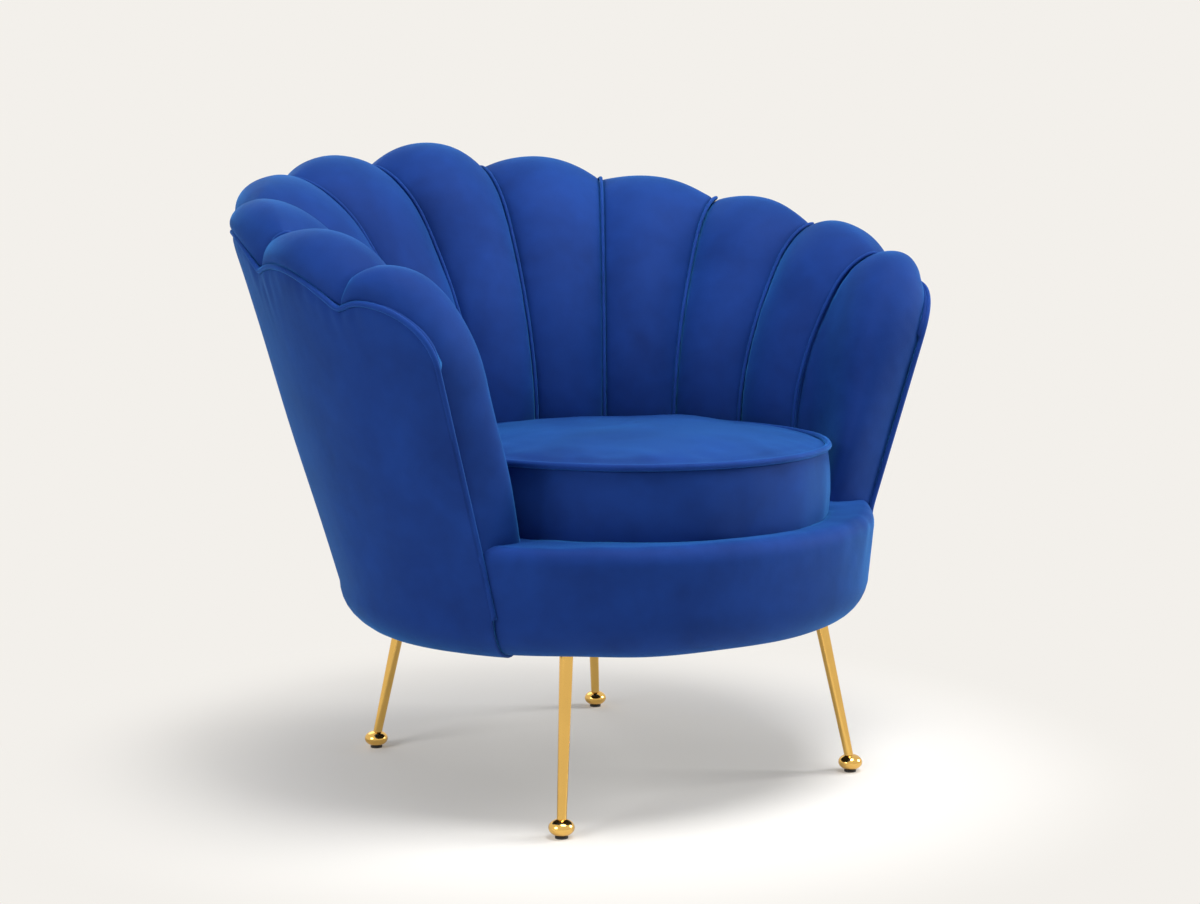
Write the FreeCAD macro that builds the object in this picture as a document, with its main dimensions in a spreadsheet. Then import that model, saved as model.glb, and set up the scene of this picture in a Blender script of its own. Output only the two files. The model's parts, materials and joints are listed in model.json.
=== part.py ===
import FreeCAD, Part
import math
import os
from FreeCAD import Vector

# Scallop back tub chair, millimetres, +Z up, the sitter faces -Y.
# The origin is on the floor under the middle of the chair.

os.makedirs("parts", exist_ok=True)
doc = FreeCAD.newDocument("ScallopChair")

# Driving dimensions
sheet = doc.addObject("Spreadsheet::Sheet", "Sizes")
DIMENSIONS = [
    # outer form of the tub
    ("overall_depth", 771, "apron front to back of the rim"),
    ("underside_height", 201, "floor to the underside of the tub"),
    ("base_width", 672, "tub width above the lower rounding"),
    ("base_depth", 624, "tub depth above the lower rounding"),
    ("base_rounding", 52, "radius of the lower outside edge"),
    ("rim_width", 860, "tub width at the rim datum"),
    ("rim_depth", 746, "tub depth at the rim datum"),
    ("rim_datum", 647, "height at which the rim size is taken"),
    ("rim_back_inset", 28, "rim outline at its datum in from the back of the chair"),
    ("cover_thickness", 9, "padded outside cover"),
    ("arm_front_inset", 161, "apron front back to the arm fronts"),
    # seams and petals
    ("seam_top_height", 671, "seam top above the floor at the side of the chair"),
    ("rim_slope", 13.2, "fall of the rim towards the front, degrees"),
    ("seam_top_inset", 20, "seam top in from the rim outline"),
    ("seam_step_rim", 25, "angle between seams along the rim, degrees"),
    ("seam_step_seat", 20, "angle between seams at the seat, degrees"),
    ("seam_step_outside", 23.5, "angle between seams at the rim piping, degrees"),
    ("well_width", 560, "seam to seam width at the seat"),
    ("well_depth", 520, "seam to seam depth at the seat"),
    ("petal_bulge_seat", 16, "petal fullness at the seat"),
    ("petal_bulge_rim", 30, "petal fullness over the rim"),
    ("petal_bulge_outside", 5, "petal fullness at the rim piping"),
    ("middle_petal_extra", 10, "extra fullness of the middle petal at the rim"),
    ("petal_gap", 0.6, "each petal side back from its seam"),
    ("arm_pad_bulge", 52, "fullness of the arm front petal"),
    ("piping_drop", 42, "seam top down to the rim piping"),
    ("piping_scallop", 23, "rise of the rim piping in the middle of a petal"),
    ("piping_valley_turn", 9, "length of each scallop end given to the rounded valley"),
    ("rim_piping_diameter", 6, ""),
    ("seam_piping_diameter", 5, ""),
    ("piping_clearance", 0.35, "cord to the covers beside it"),
    # frame
    ("board_thickness", 15, "base board"),
    ("board_edge_inset", 39, "base board edge in from the tub outline"),
    ("ring_height", 285, "underside of the seat ring"),
    ("ring_thickness", 18, ""),
    ("ring_opening_width", 420, ""),
    ("ring_opening_depth", 360, ""),
    ("rib_thickness", 18, ""),
    ("base_rib_length", 60, "reach of the base ribs inside the board edge"),
    ("front_rail_thickness", 12, ""),
    ("back_board_thickness", 4, ""),
    ("back_board_foot_width", 608, "outside width at the seat ring"),
    ("back_board_foot_depth", 580, "outside depth at the seat ring"),
    ("back_board_top_width", 752, "outside width at the rim datum"),
    ("back_board_top_depth", 656, "outside depth at the rim datum"),
    ("back_board_lean", 65, "board centre moves back from ring to rim datum"),
    ("top_rail_width", 40, ""),
    ("top_rail_thickness", 18, ""),
    ("top_rail_inset", 24, "rail middle in from the seam top outline"),
    ("top_rail_drop", 60, "seam top down to the rail middle"),
    ("rail_padding", 15, "rail middle to petal back beyond the rail half width"),
    ("frame_clearance", 0.4, "curved frame pieces to the skins beside them"),
    ("webbing_width", 50, ""),
    ("webbing_thickness", 2, ""),
    ("webbing_pitch", 82, ""),
    ("deck_thickness", 10, ""),
    ("dust_cover_thickness", 1, ""),
    # apron
    ("apron_height", 131, "underside of the tub to the apron lip"),
    ("apron_lip_radius", 20, ""),
    # cushion
    ("cushion_diameter", 480, ""),
    ("cushion_front_inset", 31, "apron front back to the cushion front"),
    ("cushion_side_height", 98, "bottom piping to top piping"),
    ("cushion_crown", 20, "rise of the top over its piping"),
    ("cushion_sag", 2, "clearance step of the underside at its edge"),
    ("cushion_side_bulge", 3, ""),
    ("cushion_cover_thickness", 1.5, ""),
    ("cushion_piping_diameter", 8, ""),
    ("cushion_gap", 7, "cushion edge to the apron well"),
    ("soft_clearance", 0.3, "loose soft pieces to what they touch"),
    # legs
    ("foot_track", 451, "left foot to right foot, front"),
    ("rear_foot_track", 361, "left foot to right foot, rear"),
    ("foot_front", 274.5, "front feet in front of the origin"),
    ("foot_rear", 188, "rear feet behind the origin"),
    ("leg_rake", 30, "leg top in from its foot, each way"),
    ("leg_top_diameter", 16, ""),
    ("leg_foot_diameter", 11, ""),
    ("leg_head_height", 4, "leg head above the underside of the tub"),
    ("ball_diameter", 30, ""),
    ("ball_height", 20, ""),
    ("glide_diameter", 15, ""),
    ("glide_height", 2, ""),
    ("leg_plate_size", 40, ""),
    ("leg_plate_thickness", 3, ""),
    ("leg_plate_shift", 9, "plate middle in from the leg, each way"),
    ("stud_diameter", 8, ""),
    ("stud_depth", 22, "stud length inside the leg"),
    ("stud_fit", 0.05, "stud to its bore, radius"),
    ("screw_diameter", 4, ""),
    ("screw_head_diameter", 7.6, ""),
    ("screw_length", 14, ""),
    ("screw_spacing", 22, ""),
]
for row, (alias, value, note) in enumerate(DIMENSIONS, start=1):
    sheet.set(f"A{row}", alias.replace("_", " "))
    sheet.set(f"B{row}", str(value))
    sheet.setAlias(f"B{row}", alias)
    sheet.set(f"C{row}", note)
doc.recompute()


def size(alias):
    return float(getattr(sheet, alias))


# Places that follow from the driving dimensions
SEAMS = [n + 0.5 for n in range(-5, 5)]
front_face = -size("overall_depth") / 2
shell_foot = size("underside_height") + size("base_rounding")
ring_top = size("ring_height") + size("ring_thickness")
board_underside = size("underside_height") + size("cover_thickness") + size("frame_clearance")
board_top = board_underside + size("board_thickness")
deck_foot = ring_top + 2 * size("webbing_thickness")
deck_top = deck_foot + size("deck_thickness")
cushion_foot = deck_top + size("soft_clearance")
cushion_radius = size("cushion_diameter") / 2
cushion_centre = front_face + size("cushion_front_inset") + cushion_radius
seat_height = cushion_foot + size("cushion_side_height")
well_centre = cushion_centre + 5
arm_front = front_face + size("arm_front_inset")
apron_top = size("underside_height") + size("apron_height")
piping_slot = size("rim_piping_diameter") / 2 + size("piping_clearance")
slope = math.tan(math.radians(size("rim_slope")))


def sin(angle):
    return math.sin(math.radians(angle))


def cos(angle):
    return math.cos(math.radians(angle))


def mix(low, high, share):
    return low + (high - low) * share


# Outlines: every one is an ellipse (half width, half depth, middle in Y)
def tub_outline(height, inset=0):
    share = (height - shell_foot) / (size("rim_datum") - shell_foot)
    half_width = mix(size("base_width"), size("rim_width"), share) / 2 - inset
    half_depth = mix(size("base_depth"), size("rim_depth"), share) / 2 - inset
    foot_middle = front_face + size("base_depth") / 2
    rim_middle = -front_face - size("rim_back_inset") - size("rim_depth") / 2
    return half_width, half_depth, mix(foot_middle, rim_middle, share)


def seam_top_outline(inset=0):
    half_width, half_depth, middle = tub_outline(size("rim_datum"), size("seam_top_inset") + inset)
    return half_width, half_depth, middle


def well_outline():
    return size("well_width") / 2, size("well_depth") / 2, well_centre


def back_board_outline(height, inset=0):
    share = (height - ring_top) / (size("rim_datum") - ring_top)
    half_width = mix(size("back_board_foot_width"), size("back_board_top_width"), share) / 2
    half_depth = mix(size("back_board_foot_depth"), size("back_board_top_depth"), share) / 2
    middle = well_centre + size("back_board_lean") * share
    return half_width - inset, half_depth - inset, middle


def on_outline(outline, angle):
    half_width, half_depth, middle = outline
    return Vector(half_width * sin(angle), middle + half_depth * cos(angle), 0)


def ellipse_wire(outline, height):
    half_width, half_depth, middle = outline
    stretch = FreeCAD.Matrix()
    stretch.A11 = half_width
    stretch.A22 = half_depth
    stretch.A24 = middle
    stretch.A34 = height
    return Part.Wire([Part.makeCircle(1).transformGeometry(stretch)])


def elliptic_solid(outline_at, low, high):
    return Part.makeLoft([ellipse_wire(outline_at(low), low), ellipse_wire(outline_at(high), high)],
                         True, True)


def rounded_at(solid, height, radius):
    edges = [e for e in solid.Edges
             if abs(e.BoundBox.ZMin - height) < 0.01 and abs(e.BoundBox.ZMax - height) < 0.01]
    return solid.makeFillet(radius, edges)


def tub_solid(inset, high):
    low = size("underside_height") + inset
    solid = elliptic_solid(lambda z: tub_outline(z, inset), low, high)
    radius = size("base_rounding")
    if inset > 0:
        radius = size("board_edge_inset") - inset
    return rounded_at(solid, low, radius)


def slab(x_low, x_high, y_low, y_high, z_low, z_high):
    return Part.makeBox(x_high - x_low, y_high - y_low, z_high - z_low,
                        Vector(x_low, y_low, z_low))


WIDE = 2 * size("rim_width")
TALL = 2 * size("rim_datum")


def behind(y):
    return slab(-WIDE, WIDE, y, WIDE, 0, TALL)


def in_front(y):
    return slab(-WIDE, WIDE, -WIDE, y, 0, TALL)


def above(height_at_origin):
    # everything over a plane that slopes as the rim does
    block = slab(-WIDE, WIDE, -WIDE, WIDE, 0, TALL)
    block.rotate(Vector(0, 0, 0), Vector(1, 0, 0), size("rim_slope"))
    block.translate(Vector(0, 0, height_at_origin))
    return block


def add_shape(name, shape):
    piece = doc.addObject("Part::Feature", name)
    piece.Label = name
    piece.Shape = shape
    piece.Placement = FreeCAD.Placement()
    nodes.append(piece)
    return piece


nodes = []


# Seams: each runs up the inside of the tub in its own upright plane, over the rim
# and down to the rim piping. The share of the way out grows with the share of the height.
def seam_top_z(y):
    return size("seam_top_height") + slope * y


def seam_ends(seam):
    foot = on_outline(well_outline(), size("seam_step_seat") * seam)
    top = on_outline(seam_top_outline(), size("seam_step_rim") * seam)
    foot.z = seat_height
    top.z = seam_top_z(top.y)
    return foot, top


ROLL_START = 0.8
ROLL_REACH = 0.5


def seam_rise(share):
    # share 0 to 1 from the seat to the seam top; returns (share out, share up)
    if share < ROLL_START:
        return ROLL_REACH * (share / ROLL_START) ** 1.8, share
    turn = 90 * (share - ROLL_START) / (1 - ROLL_START)
    first = 0.226 * sin(turn)
    second = (1 - ROLL_REACH - 0.226) * (1 - cos(turn))
    return ROLL_REACH + first + second, mix(ROLL_START, 1, sin(turn))


def seam_point(seam, share):
    foot, top = seam_ends(seam)
    if share < 0:
        return Vector(foot.x, foot.y, mix(seat_height, ring_top + size("soft_clearance"), -share))
    out, up = seam_rise(share)
    return Vector(mix(foot.x, top.x, out), mix(foot.y, top.y, out), mix(foot.z, top.z, up))


def piping_angle(seam):
    return size("seam_step_outside") * seam


def piping_valley(seam):
    top = seam_ends(seam)[1]
    height = top.z - size("piping_drop")
    point = on_outline(tub_outline(height), piping_angle(seam))
    point.z = height
    return point


def piping_peak(petal):
    left, right = piping_valley(petal - 0.5), piping_valley(petal + 0.5)
    height = (left.z + right.z) / 2 + size("piping_scallop")
    point = on_outline(tub_outline(height), piping_angle(petal))
    point.z = height
    return point


def roll_point(seam, turn):
    # outer quarter of the roll: turn 0 at the seam top, 90 at the rim piping
    top = seam_ends(seam)[1]
    end = piping_valley(seam)
    return Vector(mix(top.x, end.x, sin(turn)), mix(top.y, end.y, sin(turn)),
                  mix(end.z, top.z, cos(turn)))


def rail_middle(seam):
    point = on_outline(seam_top_outline(size("top_rail_inset")), size("seam_step_rim") * seam)
    top = seam_ends(seam)[1]
    point.z = top.z - size("top_rail_drop")
    return point


def out_to(outline, start, direction):
    # first point beyond start along direction that lies on the outline, seen from above
    half_width, half_depth, middle = outline
    px, py = start.x / half_width, (start.y - middle) / half_depth
    dx, dy = direction.x / half_width, direction.y / half_depth
    a, b, c = dx * dx + dy * dy, px * dx + py * dy, px * px + py * py - 1
    reach = (-b + math.sqrt(b * b - a * c)) / a
    return Vector(start.x + direction.x * reach, start.y + direction.y * reach, start.z)


def back_point(seam, height):
    # on the front of the back board, behind the seam
    foot, top = seam_ends(seam)
    direction = Vector(top.x - foot.x, top.y - foot.y, 0).normalize()
    inset = size("back_board_thickness") + size("frame_clearance") + size("petal_gap")
    point = out_to(back_board_outline(height, inset), foot, direction)
    point.z = height
    return point


def rail_point(seam, face):
    middle = rail_middle(seam)
    direction = (face - middle).normalize()
    radius = size("top_rail_width") / 2 + size("rail_padding") - 10
    return middle + direction * radius


# Sections of one seam: (point on the seam, point at the back of the padding)
def seam_sections(seam):
    sections = []
    for share in (-1, 0, 0.28, 0.52):
        face = seam_point(seam, share)
        sections.append((face, back_point(seam, face.z - 12 * max(share, 0))))
    for share in (0.74, 0.86, 0.93, 1):
        face = seam_point(seam, share)
        sections.append((face, rail_point(seam, face)))
    for turn in (38, 66, 90):
        face = roll_point(seam, turn)
        if turn == 90:
            face = face - Vector(0, 0, size("piping_scallop") / 2)
        sections.append((face, rail_point(seam, face)))
    return sections


def petal_bulge(petal, section):
    # fullness at each of the eleven sections, from the seat to the rim piping
    seat, rim, outside = (size(name) for name in
                          ("petal_bulge_seat", "petal_bulge_rim", "petal_bulge_outside"))
    if petal == 0:
        rim = rim + size("middle_petal_extra")
    fullness = [0.6 * seat, seat, 1.12 * seat, 1.3 * seat, mix(seat, rim, 0.6),
                mix(seat, rim, 0.8), mix(seat, rim, 0.92), rim,
                mix(outside, rim, 0.8), mix(outside, rim, 0.45), outside]
    return fullness[section]


def petal_section(left, right, bulge):
    (face_l, back_l), (face_r, back_r) = left, right
    across = (face_r - face_l).normalize()
    face_middle = (face_l + face_r) * 0.5
    outward = face_middle - (back_l + back_r) * 0.5
    outward = (outward - across * outward.dot(across)).normalize()
    normal = across.cross(outward)
    face_l = face_l + across * size("petal_gap")
    face_r = face_r - across * size("petal_gap")
    back_l = back_l - normal * (back_l - face_l).dot(normal) + across * 3 * size("petal_gap")
    back_r = back_r - normal * (back_r - face_r).dot(normal) - across * 3 * size("petal_gap")
    crown = Part.Arc(face_l, face_middle + outward * bulge, face_r).toShape()
    sides = [Part.makeLine(face_r, back_r), Part.makeLine(back_r, back_l),
             Part.makeLine(back_l, face_l)]
    return Part.Wire([crown] + sides)


def scallop_block(petal, shift, upper):
    # block above (upper) or below the scallop of one petal, outside the top rail
    left, right, peak = piping_valley(petal - 0.5), piping_valley(petal + 0.5), piping_peak(petal)
    across = Vector(right.x - left.x, right.y - left.y, 0)
    width = across.Length
    across.normalize()
    outward = Vector(across.y, -across.x, 0)
    middle = (left + right) * 0.5
    if outward.dot(Vector(middle.x, middle.y - tub_outline(middle.z)[2], 0)) < 0:
        outward = outward * -1
    rail = (rail_middle(petal - 0.5) + rail_middle(petal + 0.5)) * 0.5
    start = (rail - middle).dot(outward) + 4
    base = Vector(left.x, left.y, 0) + outward * start
    run = 6

    def at(along, height):
        return base + across * along + Vector(0, 0, height + shift)

    peak_along = (peak - left).dot(across)
    fall = size("piping_scallop") * 4 * run / width
    arc = Part.Arc(at(-run, left.z - fall), at(peak_along, peak.z), at(width + run, right.z - fall))
    reach = TALL / 4 if upper else -120
    corner_r, corner_l = at(width + run, right.z + reach), at(-run, left.z + reach)
    edges = [arc.toShape(), Part.makeLine(arc.EndPoint, corner_r),
             Part.makeLine(corner_r, corner_l), Part.makeLine(corner_l, arc.StartPoint)]
    return Part.Face(Part.Wire(edges)).extrude(outward * 150)


def petal_solid(petal):
    left, right = seam_sections(petal - 0.5), seam_sections(petal + 0.5)
    wires = [petal_section(l, r, petal_bulge(petal, n)) for n, (l, r) in enumerate(zip(left, right))]
    return Part.makeLoft(wires, True, True).cut(scallop_block(petal, piping_slot, False))


# Arm fronts: the first and last petals wrap from the outermost seam to the piping
# that drops down the arm front. Everything is worked out for the right arm and mirrored.
ARM_SEAM = SEAMS[-1]


def front_angle(height, y):
    half_depth, middle = tub_outline(height)[1:]
    return math.degrees(math.acos((y - middle) / half_depth))


arm_peak = piping_valley(ARM_SEAM)
ARM_PEAK_ANGLE = piping_angle(ARM_SEAM) + 5
ARM_PEAK_Z = arm_peak.z + 9
ARM_BEND_Z = ARM_PEAK_Z - 65


def arm_piping_point(turn):
    # quarter turn from the peak (0) down to where the piping drops straight (90)
    height = mix(ARM_BEND_Z, ARM_PEAK_Z, cos(turn))
    bend_angle = front_angle(ARM_BEND_Z, arm_front)
    angle = mix(ARM_PEAK_ANGLE, bend_angle, sin(turn))
    point = on_outline(tub_outline(height), angle)
    point.z = height
    return point


def arm_front_point(height):
    bend_angle = front_angle(ARM_BEND_Z, arm_front)
    point = on_outline(tub_outline(height), bend_angle)
    point.z = height
    return point


def before_arm_piping(shift):
    # everything in front of the line in which the piping drops down the arm fronts
    low, high = arm_front_point(0).y + shift, arm_front_point(TALL).y + shift
    corners = [Vector(-WIDE, low, 0), Vector(-WIDE, high, TALL), Vector(-WIDE, -WIDE, TALL),
               Vector(-WIDE, -WIDE, 0), Vector(-WIDE, low, 0)]
    return Part.Face(Part.makePolygon(corners)).extrude(Vector(2 * WIDE, 0, 0))


def arc_middle(start, end, tangent):
    # middle of the arc from start to end that leaves start along tangent
    chord = end - start
    normal = chord - tangent * chord.dot(tangent)
    normal.normalize()
    radius = chord.dot(chord) / (2 * chord.dot(normal))
    centre = start + normal * radius
    return ((start + end) * 0.5 - centre).normalize() * radius + centre


def arc_by_tangent(start, end, tangent):
    return Part.Arc(start, arc_middle(start, end, tangent), end).toShape()


def arm_section(inner, outer, bulge, forward, inward):
    # a full pad between the seam (inner) and the arm front piping (outer)
    chord = outer - inner
    length = chord.Length
    chord.normalize()
    swell = inward - chord * inward.dot(chord)
    swell.normalize()
    inner = inner + chord * size("petal_gap")
    outer = outer - chord * piping_slot
    crown = inner + chord * (length * forward) + swell * bulge
    first = arc_by_tangent(crown, inner, chord * -1)
    second = arc_by_tangent(crown, outer, chord)
    return Part.Wire([first, second, Part.makeLine(outer, inner)])


def arm_pad():
    full = size("arm_pad_bulge")
    left = Vector(-1, -0.1, 0)
    pairs = [(seam_point(ARM_SEAM, -1), arm_front_point(ring_top + size("soft_clearance")),
              0.9 * full, 0.68, left),
             (seam_point(ARM_SEAM, 0), arm_front_point(seat_height), full, 0.66, left),
             (seam_point(ARM_SEAM, 0.4), arm_front_point(mix(seat_height, ARM_BEND_Z, 0.6)),
              full, 0.62, left),
             (seam_point(ARM_SEAM, 0.66), arm_piping_point(88), 0.95 * full, 0.58,
              Vector(-0.9, -0.1, 0.35)),
             (seam_point(ARM_SEAM, 0.86), arm_piping_point(52), 0.8 * full, 0.54,
              Vector(-0.5, -0.3, 0.8)),
             (seam_point(ARM_SEAM, 0.98), arm_piping_point(22), 0.5 * full, 0.52,
              Vector(-0.1, -0.4, 1)),
             (roll_point(ARM_SEAM, 40), arm_piping_point(4), 0.3 * full, 0.5,
              Vector(0.4, -0.3, 1))]
    solid = Part.makeLoft([arm_section(*pair) for pair in pairs], True, True)
    apron_space = before_arm_piping(size("soft_clearance") - piping_slot)
    return solid.cut(apron_space.common(slab(0, WIDE, -WIDE, WIDE, 0,
                                             apron_top + size("soft_clearance"))))


def mirrored(shape):
    return shape.mirror(Vector(0, 0, 0), Vector(1, 0, 0))


# Cords along lines and arcs that meet without a corner
def smooth_cord(edges, diameter):
    tangent = edges[0].tangentAt(edges[0].FirstParameter)
    start = edges[0].valueAt(edges[0].FirstParameter)
    profile = Part.Wire([Part.makeCircle(diameter / 2, start, tangent)])
    return Part.Wire(edges).makePipeShell([profile], True, True)


def biarc(start, start_tangent, end, end_tangent):
    chord = end - start
    both = start_tangent + end_tangent
    a = 2 * (1 - start_tangent.dot(end_tangent))
    b = 2 * chord.dot(both)
    c = -chord.dot(chord)
    reach = (-b + math.sqrt(b * b - 4 * a * c)) / (2 * a)
    middle = (start + end + (start_tangent - end_tangent) * reach) * 0.5
    bend = arc_middle(end, middle, end_tangent * -1)
    return [arc_by_tangent(start, middle, start_tangent), Part.Arc(middle, bend, end).toShape()]


def seam_cord(seam):
    # lies in the groove, its middle this far in front of the seam
    stand_off = size("seam_piping_diameter") / 2 / 0.62 + size("piping_clearance")
    foot, top = seam_ends(seam)
    plane_out = Vector(top.x - foot.x, top.y - foot.y, 0).normalize()

    def path(share):
        step = 0.002
        here, ahead = seam_point(seam, share), seam_point(seam, share + step)
        if share >= 1:
            here, ahead = seam_point(seam, 1 - step), seam_point(seam, 1)
        tangent = (ahead - here).normalize()
        front = Vector(0, 0, 1) * tangent.dot(plane_out) - plane_out * tangent.z
        return seam_point(seam, share) + front * stand_off, tangent

    start, tangent = path(0.004)
    low = Vector(start.x, start.y, ring_top + size("soft_clearance"))
    edges = [Part.makeLine(low, start)]
    tangent = Vector(0, 0, 1)
    for share in (0.3, 0.55, 0.78, 0.92, 1):
        end, end_tangent = path(share)
        edges += biarc(start, tangent, end, end_tangent)
        start, tangent = end, end_tangent
    return smooth_cord(edges, size("seam_piping_diameter"))


seam_cords = [seam_cord(seam) for seam in SEAMS]
add_shape("channel_piping", Part.makeCompound(seam_cords))


def rim_path():
    # up the right arm front, over the scallops to the middle petal, and the same on the left
    drop, bend, peak = arm_front_point(shell_foot), arm_piping_point(90), arm_piping_point(0)
    rise = (bend - drop).normalize()
    over = (peak - arm_piping_point(3)).normalize()
    edges = [Part.makeLine(drop, bend)] + biarc(bend, rise, peak, over)
    start, tangent = peak, over
    for petal in (4, 3, 2, 1, 0):
        arc = Part.Arc(piping_valley(petal + 0.5), piping_peak(petal),
                       piping_valley(petal - 0.5)).toShape()
        trim = size("piping_valley_turn") / arc.Curve.Radius
        arc = Part.Edge(arc.Curve, arc.FirstParameter + trim, arc.LastParameter - trim)
        first, last = arc.FirstParameter, arc.LastParameter
        edges += biarc(start, tangent, arc.valueAt(first), arc.tangentAt(first)) + [arc]
        start, tangent = arc.valueAt(last), arc.tangentAt(last)
    return edges + [mirrored(edge) for edge in reversed(edges[:-1])]


rim_edges = rim_path()
rim_clear = smooth_cord(rim_edges, size("rim_piping_diameter") + 2 * size("piping_clearance"))
add_shape("rim_piping", smooth_cord(rim_edges, size("rim_piping_diameter")))

# Outer skins
tub_top = seam_top_z(-front_face)
outer_form = tub_solid(0, tub_top)
inner_form = tub_solid(size("cover_thickness"), tub_top + 1)
hem = elliptic_solid(lambda z: tub_outline(size("underside_height"), size("base_rounding") + 8),
                     0, shell_foot)


def leg_axes():
    # foot point on the floor and head point of each leg
    rows = [("front_left", -size("foot_track") / 2, -size("foot_front")),
            ("front_right", size("foot_track") / 2, -size("foot_front")),
            ("rear_left", -size("rear_foot_track") / 2, size("foot_rear")),
            ("rear_right", size("rear_foot_track") / 2, size("foot_rear"))]
    axes = []
    for name, x, y in rows:
        rake = size("leg_rake")
        foot = Vector(x, y, size("glide_height"))
        head = Vector(x - math.copysign(rake, x), y - math.copysign(rake, y),
                      size("underside_height") + size("leg_head_height"))
        axes.append((name, foot, head))
    return axes


LEGS = leg_axes()


def plate_middle(head):
    shift = size("leg_plate_shift")
    return Vector(head.x - math.copysign(shift, head.x), head.y - math.copysign(shift, head.y),
                  board_underside - size("leg_plate_thickness"))


def leg_clearances():
    solids = []
    for name, foot, head in LEGS:
        direction = (head - foot).normalize()
        solids.append(Part.makeCylinder(size("leg_top_diameter") / 2 + 1, 60,
                                        head - direction * 30, direction))
        middle = plate_middle(head)
        half = size("leg_plate_size") / 2 + 1
        solids.append(slab(middle.x - half, middle.x + half, middle.y - half, middle.y + half,
                           middle.z - 1, board_underside))
    return solids


leg_holes = leg_clearances()

over_piping = above(size("seam_top_height") - size("piping_drop") + size("piping_scallop") + 6)
back_panel = outer_form.cut([inner_form, before_arm_piping(piping_slot), over_piping])
for petal in range(-4, 5):
    back_panel = back_panel.cut(scallop_block(petal, -piping_slot, True))


def shoulder_cut():
    # the panel's front upper corner follows the piping over the arm
    inner = Vector(40, 0, 0)
    points = [arm_piping_point(turn) for turn in (90, 50, 0)] + [piping_valley(ARM_SEAM)]
    flat = [Vector(0, p.y, p.z) for p in points]
    direction = Vector(0, 1, -1).normalize() * (piping_slot + 0.5)
    flat = [p + direction for p in flat]
    arc = Part.Arc(flat[0], flat[1], flat[2])
    back = flat[3] + Vector(0, 4, -1)
    high = Vector(0, back.y, TALL / 1.5)
    front = Vector(0, arm_front - 40, TALL / 1.5)
    low = Vector(0, arm_front - 40, flat[0].z)
    edges = [arc.toShape(), Part.makeLine(flat[2], back), Part.makeLine(back, high),
             Part.makeLine(high, front), Part.makeLine(front, low), Part.makeLine(low, flat[0])]
    face = Part.Face(Part.Wire(edges))
    face.translate(inner)
    return face.extrude(Vector(WIDE, 0, 0))


corner = shoulder_cut()
back_panel = back_panel.cut([corner, mirrored(corner), hem, rim_clear] + leg_holes)
add_shape("outer_back_panel", back_panel)

apron = elliptic_solid(tub_outline, size("underside_height"), apron_top)
apron = rounded_at(apron, size("underside_height"), size("base_rounding"))
apron = rounded_at(apron, apron_top, size("apron_lip_radius"))
apron = apron.common(before_arm_piping(-piping_slot))
apron_inside = inner_form.common(slab(-WIDE, WIDE, -WIDE, WIDE, 0, ring_top + 0.2))
cushion_well = Part.makeCylinder(cushion_radius + size("cushion_gap"), TALL,
                                 Vector(0, cushion_centre, ring_top))
add_shape("front_apron", apron.cut([apron_inside, cushion_well, hem, rim_clear] + leg_holes))


# Frame
def plate(outline, low, thickness):
    return elliptic_solid(lambda z: outline, low, low + thickness)


board_outline = tub_outline(board_underside, size("board_edge_inset") + size("frame_clearance"))
board = plate(board_outline, board_underside, size("board_thickness"))


def screw_places(head):
    # three to a plate; the corner over the stud has none
    middle = plate_middle(head)
    half = size("screw_spacing") / 2
    return [Vector(middle.x + i * half, middle.y + j * half, middle.z)
            for i in (-1, 1) for j in (-1, 1) if i * head.x < 0 or j * head.y < 0]


def screw_solid(place, grow):
    # countersunk: cone head in the plate, shank in the board
    head_radius = size("screw_head_diameter") / 2
    shank = size("screw_diameter") / 2
    thick = size("leg_plate_thickness")
    if grow > 0:
        head_radius, shank = head_radius + grow, shank + grow
    head = Part.makeCone(head_radius, shank, thick, place)
    return head.fuse(Part.makeCylinder(shank, size("screw_length") - thick,
                                       place + Vector(0, 0, thick)))


screw_holes = [screw_solid(place, size("stud_fit")) for leg in LEGS for place in screw_places(leg[2])]
screws = [screw_solid(place, 0) for leg in LEGS for place in screw_places(leg[2])]
add_shape("base_board", board.cut(screw_holes))
add_shape("leg_plate_screws", Part.makeCompound(screws))

ring_outline = tub_outline(size("ring_height"), size("cover_thickness") + size("frame_clearance"))
ring = plate(ring_outline, size("ring_height"), size("ring_thickness"))
opening = (size("ring_opening_width") / 2, size("ring_opening_depth") / 2, well_centre)
ring = ring.cut(plate(opening, 0, TALL))
add_shape("seat_ring", ring)

rail_outer = plate((board_outline[0] - 2, board_outline[1] - 2, board_outline[2]),
                   board_top, size("ring_height") - board_top)
thick = size("front_rail_thickness") + 2
rail_inner = plate((board_outline[0] - thick, board_outline[1] - thick, board_outline[2]), 0, TALL)
front_rail = rail_outer.cut(rail_inner).common(in_front(arm_front))
add_shape("front_rail", front_rail)


def upright(seam, low, high):
    # board on edge in the seam's upright plane
    foot, top = seam_ends(seam)
    direction = Vector(top.x - foot.x, top.y - foot.y, 0).normalize()
    side = Vector(-direction.y, direction.x, 0) * size("rib_thickness") / 2
    start = Vector(foot.x, foot.y, low) - direction * 120
    end = start + direction * 420
    corners = [start - side, end - side, end + side, start + side, start - side]
    return Part.Face(Part.makePolygon(corners)).extrude(Vector(0, 0, high - low))


skin_clear = size("cover_thickness") + size("frame_clearance")
frame_form = rounded_at(elliptic_solid(lambda z: tub_outline(z, skin_clear),
                                       board_underside, tub_top),
                        board_underside, size("board_edge_inset") - skin_clear)
rib_inner = plate((board_outline[0] - size("base_rib_length"),
                   board_outline[1] - size("base_rib_length"), board_outline[2]), 0, TALL)
base_ribs = []
for seam in SEAMS:
    rib = upright(seam, board_top, size("ring_height")).common(frame_form).cut(rib_inner)
    base_ribs.append(rib)
add_shape("base_ribs", Part.makeCompound(base_ribs))

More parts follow.
